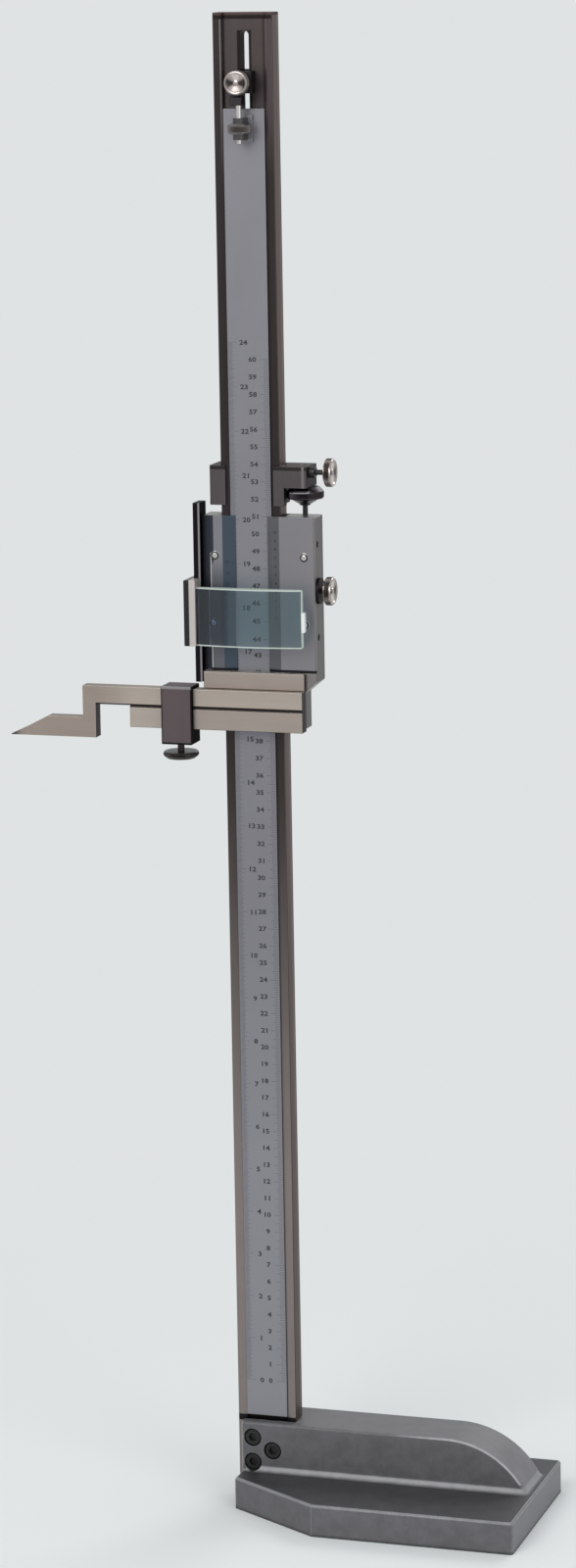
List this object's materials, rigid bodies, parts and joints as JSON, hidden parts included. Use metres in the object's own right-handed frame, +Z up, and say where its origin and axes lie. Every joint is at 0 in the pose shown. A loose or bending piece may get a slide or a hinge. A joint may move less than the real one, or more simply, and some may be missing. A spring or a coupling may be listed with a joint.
{
  "type": "height gauge",
  "caption": "Vernier height gauge: heavy base, tall column with a sliding graduated scale, slider with lens and fine feed, and a scriber held by a clamp.",
  "frame": {"origin": "the base's ground bottom face, under the column's axis", "axes": "+Z up along the column; the scales face -Y; the scriber points to -X and the base reaches out to +X"},
  "size_m": [0.3079, 0.1124, 0.868],
  "materials": {
    "base_iron": "dark grey, evenly blasted and oiled",
    "column_steel": "darkened steel, drawn lengthways",
    "scale_steel": "satin chrome, fine grained",
    "slider_steel": "ground steel",
    "vernier_steel": "satin chrome",
    "bar_steel": "ground steel",
    "carbide": "ground hard metal",
    "clamp_steel": "dark burnished steel",
    "bright_screw": "bright steel",
    "black_screw": "black oxide",
    "anchor_steel": "darkened steel",
    "knob_steel": "bright turned steel, knurled rim",
    "rail_steel": "ground steel",
    "slide_metal": "satin",
    "plate_black": "black, semi-gloss",
    "lens_glass": "clear optical",
    "grip_white": "pale, semi-gloss"
  },
  "bodies": {
    "stand": {"base": "base_iron", "column": "column_steel", "column_screws": "black_screw"},
    "scale_anchor": {"scale_anchor": "anchor_steel", "scale_stud": "bright_screw", "scale_clamp_nut": "anchor_steel"},
    "scale_clamp_screw": {"scale_clamp_screw": "knob_steel"},
    "main_scale": {"main_scale": "scale_steel", "scale_bracket": "anchor_steel", "scale_bracket_screws": "bright_screw"},
    "scale_adjust_wheel": {"scale_adjust_wheel": "knob_steel"},
    "carrier": {"carrier": "slider_steel", "carrier_clamp_shoe": "bright_screw"},
    "carrier_clamp_screw": {"carrier_clamp_screw": "knob_steel", "carrier_screw_collar": "black_screw"},
    "feed_wheel": {"feed_wheel": "knob_steel", "feed_wheel_retainer": "bright_screw"},
    "slider": {"slider_body": "slider_steel", "slider_back_plate": "slider_steel", "back_plate_screws": "bright_screw", "bar_screws": "bright_screw", "gib": "slider_steel", "gib_screws": "black_screw", "vernier_plate_inch": "vernier_steel", "vernier_plate_metric": "vernier_steel", "vernier_screws": "bright_screw", "feed_screw": "bright_screw", "upper_bar": "bar_steel", "measuring_jaw": "bar_steel", "magnifier_rail": "rail_steel", "rail_screws": "bright_screw", "slider_clamp_washer": "black_screw"},
    "slider_clamp_screw": {"slider_clamp_screw": "knob_steel"},
    "magnifier": {"magnifier_slide": "slide_metal", "magnifier_side_plate": "plate_black", "side_plate_screws": "bright_screw", "magnifier_lens": "lens_glass", "lens_grip": "grip_white"},
    "scriber_clamp": {"scriber_clamp": "clamp_steel", "scriber_clamp_pad": "clamp_steel"},
    "scriber_clamp_screw": {"scriber_clamp_screw": "knob_steel"},
    "scriber": {"scriber": "bar_steel", "carbide_tip": "carbide"}
  },
  "joints": [
    {"name": "scale_coarse", "type": "slide", "parent": "stand", "child": "scale_anchor", "axis": [0, 0, 1], "range_m": [0, 0.01]},
    {"name": "scale_knob_turn", "type": "hinge", "parent": "scale_anchor", "child": "scale_clamp_screw", "pos_m": [0, 0, 0.829], "axis": [0, -1, 0], "range_deg": [0, 360]},
    {"name": "scale_fine", "type": "slide", "parent": "scale_anchor", "child": "main_scale", "axis": [0, 0, 1], "range_m": [-0.002, 0.002]},
    {"name": "scale_wheel_spin", "type": "hinge", "parent": "main_scale", "child": "scale_adjust_wheel", "pos_m": [0, -0.015, 0.8031], "axis": [0, 0, 1], "range_deg": [-1450, 1450]},
    {"name": "slider_travel", "type": "slide", "parent": "stand", "child": "carrier", "axis": [0, 0, 1], "range_m": [-0.4, 0.158]},
    {"name": "carrier_knob_turn", "type": "hinge", "parent": "carrier", "child": "carrier_clamp_screw", "pos_m": [0.046, -0.0015, 0.6078], "axis": [1, 0, 0], "range_deg": [0, 360]},
    {"name": "slider_fine", "type": "slide", "parent": "carrier", "child": "slider", "axis": [0, 0, 1], "range_m": [-0.01, 0.005]},
    {"name": "feed_wheel_spin", "type": "hinge", "parent": "carrier", "child": "feed_wheel", "pos_m": [0.0294, 0.004, 0.5955], "axis": [0, 0, 1], "range_deg": [-1810, 3610]},
    {"name": "slider_knob_turn", "type": "hinge", "parent": "slider", "child": "slider_clamp_screw", "pos_m": [0.0435, 0, 0.5395], "axis": [1, 0, 0], "range_deg": [0, 360]},
    {"name": "magnifier_travel", "type": "slide", "parent": "slider", "child": "magnifier", "axis": [0, 0, 1], "range_m": [-0.02, 0.038]},
    {"name": "clamp_travel", "type": "slide", "parent": "slider", "child": "scriber_clamp", "axis": [1, 0, 0], "range_m": [-0.018, 0.0035]},
    {"name": "clamp_knob_turn", "type": "hinge", "parent": "scriber_clamp", "child": "scriber_clamp_screw", "pos_m": [-0.04275, -0.01245, 0.443], "axis": [0, 0, 1], "range_deg": [-360, 0]},
    {"name": "scriber_travel", "type": "slide", "parent": "slider", "child": "scriber", "axis": [1, 0, 0], "range_m": [-0.04, 0.018]}
  ],
  "couplings": [
    {"joint": "scale_wheel_spin", "follows": "scale_fine", "rad_per_m": 12566},
    {"joint": "feed_wheel_spin", "follows": "slider_fine", "rad_per_m": -6283.2}
  ]
}
